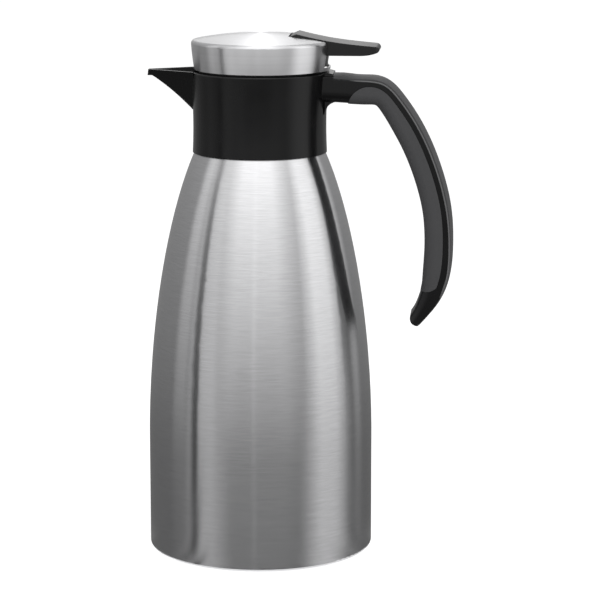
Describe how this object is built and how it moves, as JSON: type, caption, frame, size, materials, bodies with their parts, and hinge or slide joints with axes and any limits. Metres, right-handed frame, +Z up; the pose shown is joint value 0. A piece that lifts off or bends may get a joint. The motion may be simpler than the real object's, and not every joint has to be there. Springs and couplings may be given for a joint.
{
  "type": "thermal carafe",
  "caption": "Steel vacuum carafe with open C handle, pouring spout and a lift-out lid whose thumb lever opens a pour valve.",
  "frame": {"origin": "on the flask's axis at the floor", "axes": "+Z up along the flask's axis, +X towards the handle, -X towards the spout"},
  "size_m": [0.163, 0.12, 0.2774],
  "materials": {
    "brushed_steel": "brushed round the body",
    "spun_steel": "spun, fine rings",
    "inner_steel": "drawn, satin",
    "getter_metal": "dull",
    "silicone": "translucent grey, satin",
    "black_plastic": "moulded, satin",
    "spine_plastic": "finely textured",
    "grip_rubber": "soft matte",
    "lid_plastic": "moulded, satin",
    "foam": "closed-cell foam",
    "small_steel": "polished",
    "lever_plastic": "moulded, satin",
    "spring_steel": "drawn wire"
  },
  "bodies": {
    "flask": {"outer_shell": "brushed_steel", "inner_vessel": "inner_steel", "base_plate": "inner_steel", "seal_cap": "inner_steel", "getter": "getter_metal", "neck_gasket": "silicone", "collar": "black_plastic", "handle_spine": "spine_plastic", "handle_grip": "grip_rubber"},
    "lid_carrier": {"lid_gasket": "silicone"},
    "lid": {"lid_plug": "lid_plastic", "lid_foam": "foam", "lid_body": "lid_plastic", "o_ring": "silicone", "lid_deck": "lid_plastic", "lid_screws": "small_steel", "lid_cap": "spun_steel", "lever_pin": "small_steel", "valve_spring": "spring_steel"},
    "lever": {"thumb_lever": "lever_plastic"},
    "valve": {"valve_stem": "small_steel", "valve_disc": "lid_plastic", "valve_seal": "silicone", "lift_washer": "small_steel", "stem_clip": "small_steel"}
  },
  "joints": [
    {"name": "lid_lift", "type": "slide", "parent": "flask", "child": "lid_carrier", "axis": [0, 0, 1], "range_m": [0, 0.07]},
    {"name": "lid_turn", "type": "hinge", "parent": "lid_carrier", "child": "lid", "pos_m": [0, 0, 0.24], "axis": [0, 0, 1], "range_deg": [0, 90]},
    {"name": "lever_press", "type": "hinge", "parent": "lid", "child": "lever", "pos_m": [0.026, 0, 0.2676], "axis": [0, 1, 0], "range_deg": [0, 10], "stiffness_Nm_per_rad": 0.05, "springref_deg": -11.46},
    {"name": "valve_lift", "type": "slide", "parent": "lid", "child": "valve", "axis": [0, 0, 1], "range_m": [0, 0.00459], "deforming": ["valve_spring"]}
  ],
  "couplings": [
    {"joint": "lever_press", "follows": "valve_lift", "rad_per_m": 38.023}
  ]
}
